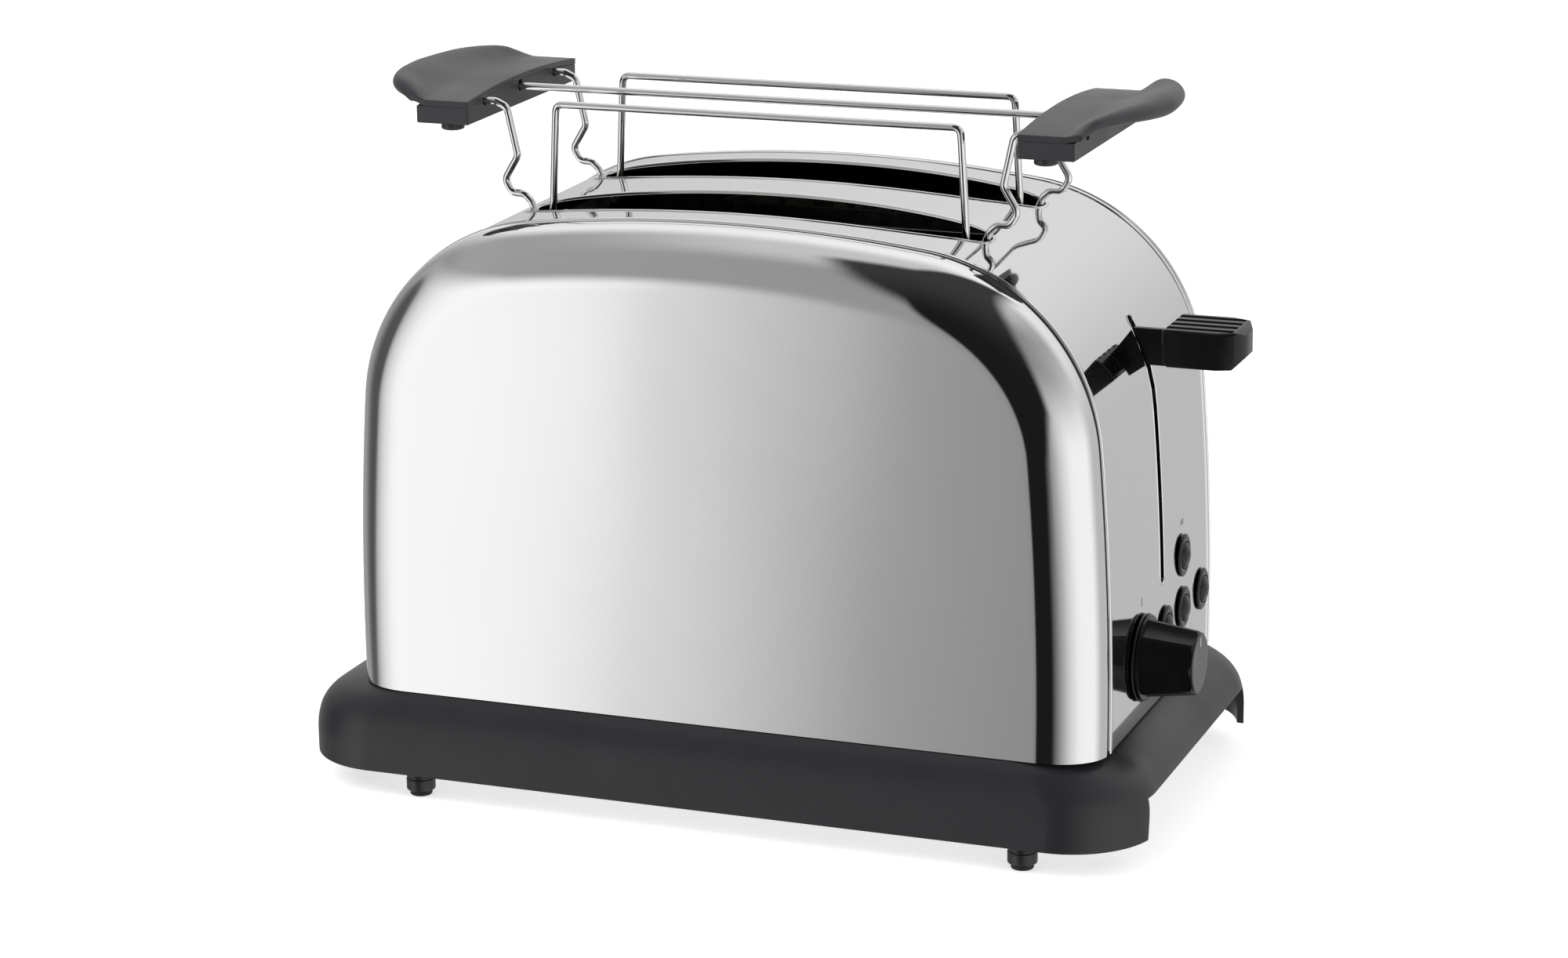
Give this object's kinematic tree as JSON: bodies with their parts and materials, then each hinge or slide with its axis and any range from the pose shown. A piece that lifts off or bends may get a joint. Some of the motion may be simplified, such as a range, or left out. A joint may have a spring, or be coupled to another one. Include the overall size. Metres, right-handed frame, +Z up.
{
  "type": "pop-up toaster",
  "caption": "Pop-up toaster with an arched polished steel body, side lever, browning knob, push buttons, crumb tray and a lift-off wire bun rack.",
  "frame": {"origin": "centre of the overall box in X and Y, on the table plane under the feet", "axes": "+Z up, +X towards the lever end, -Y towards the plain front panel"},
  "size_m": [0.2968, 0.1592, 0.2302],
  "materials": {
    "polished_steel": "mirror-polished stainless sheet",
    "plated_wire": "bright chrome-plated wire",
    "handle_plastic": "moulded dark grey, matte",
    "base_plastic": "moulded charcoal, matte",
    "control_plastic": "black with a soft gloss",
    "rubber": "black moulded",
    "chassis_steel": "zinc-coated sheet, dull",
    "heater_mica": "pressed mica sheet with its wire",
    "board": "glass-fibre circuit board",
    "spring_steel": "drawn spring wire"
  },
  "bodies": {
    "housing": {"base": "base_plastic", "bottom_plate": "chassis_steel", "browning_control": "board", "button_ring_bagel": "control_plastic", "button_ring_cancel": "control_plastic", "button_ring_defrost": "control_plastic", "button_ring_reheat": "control_plastic", "centre_band": "polished_steel", "control_board": "board", "cord_gland": "rubber", "end_plate_left": "chassis_steel", "end_plate_right": "chassis_steel", "foot_front_left": "base_plastic", "foot_front_right": "base_plastic", "foot_rear_left": "base_plastic", "foot_rear_right": "base_plastic", "front_panel": "polished_steel", "guard_front_inner": "chassis_steel", "guard_front_outer": "chassis_steel", "guard_rear_inner": "chassis_steel", "guard_rear_outer": "chassis_steel", "guide_rod": "chassis_steel", "heater_front_inner": "heater_mica", "heater_front_outer": "heater_mica", "heater_rear_inner": "heater_mica", "heater_rear_outer": "heater_mica", "latch_magnet": "chassis_steel", "lift_spring": "spring_steel", "rear_panel": "polished_steel", "reflector_front": "chassis_steel", "reflector_rear": "chassis_steel", "tip_front_left": "rubber", "tip_front_right": "rubber", "tip_rear_left": "rubber", "tip_rear_right": "rubber"},
    "lift": {"lever_arm": "chassis_steel", "lever_grip": "control_plastic", "lift_bracket": "chassis_steel", "carriage_front": "chassis_steel", "carriage_rear": "chassis_steel", "keeper_plate": "chassis_steel"},
    "knob": {"browning_knob": "control_plastic", "knob_shaft": "chassis_steel"},
    "cancel_button": {"button_cancel": "control_plastic"},
    "defrost_button": {"button_defrost": "control_plastic"},
    "reheat_button": {"button_reheat": "control_plastic"},
    "bagel_button": {"button_bagel": "control_plastic"},
    "tray": {"crumb_tray": "chassis_steel"},
    "rack": {"handle_block_left": "handle_plastic", "handle_block_right": "handle_plastic", "handle_boss_left_front": "handle_plastic", "handle_boss_left_rear": "handle_plastic", "handle_boss_right_front": "handle_plastic", "handle_boss_right_rear": "handle_plastic", "handle_cover_left": "handle_plastic", "handle_cover_right": "handle_plastic", "rack_wire_centre": "plated_wire", "rack_wire_front": "plated_wire", "rack_wire_rear": "plated_wire"}
  },
  "joints": [
    {"name": "lever_slide", "type": "slide", "parent": "housing", "child": "lift", "axis": [0, 0, -1], "range_m": [0, 0.068], "stiffness_N_per_m": 60, "springref_m": -0.08, "deforming": ["lift_spring"]},
    {"name": "knob_turn", "type": "hinge", "parent": "housing", "child": "knob", "pos_m": [0.12665, -0.02275, 0.055], "axis": [1, 0, 0], "range_deg": [-135, 135]},
    {"name": "cancel_press", "type": "slide", "parent": "housing", "child": "cancel_button", "axis": [-1, 0, 0], "range_m": [0, 0.0015], "stiffness_N_per_m": 400, "springref_m": -0.001},
    {"name": "defrost_press", "type": "slide", "parent": "housing", "child": "defrost_button", "axis": [-1, 0, 0], "range_m": [0, 0.0015], "stiffness_N_per_m": 400, "springref_m": -0.001},
    {"name": "reheat_press", "type": "slide", "parent": "housing", "child": "reheat_button", "axis": [-1, 0, 0], "range_m": [0, 0.0015], "stiffness_N_per_m": 400, "springref_m": -0.001},
    {"name": "bagel_press", "type": "slide", "parent": "housing", "child": "bagel_button", "axis": [-1, 0, 0], "range_m": [0, 0.0015], "stiffness_N_per_m": 400, "springref_m": -0.001},
    {"name": "tray_slide", "type": "slide", "parent": "housing", "child": "tray", "axis": [-1, 0, 0], "range_m": [0, 0.2]},
    {"name": "rack_lift", "type": "slide", "parent": "housing", "child": "rack", "axis": [0, 0, 1], "range_m": [0, 0.06]}
  ]
}
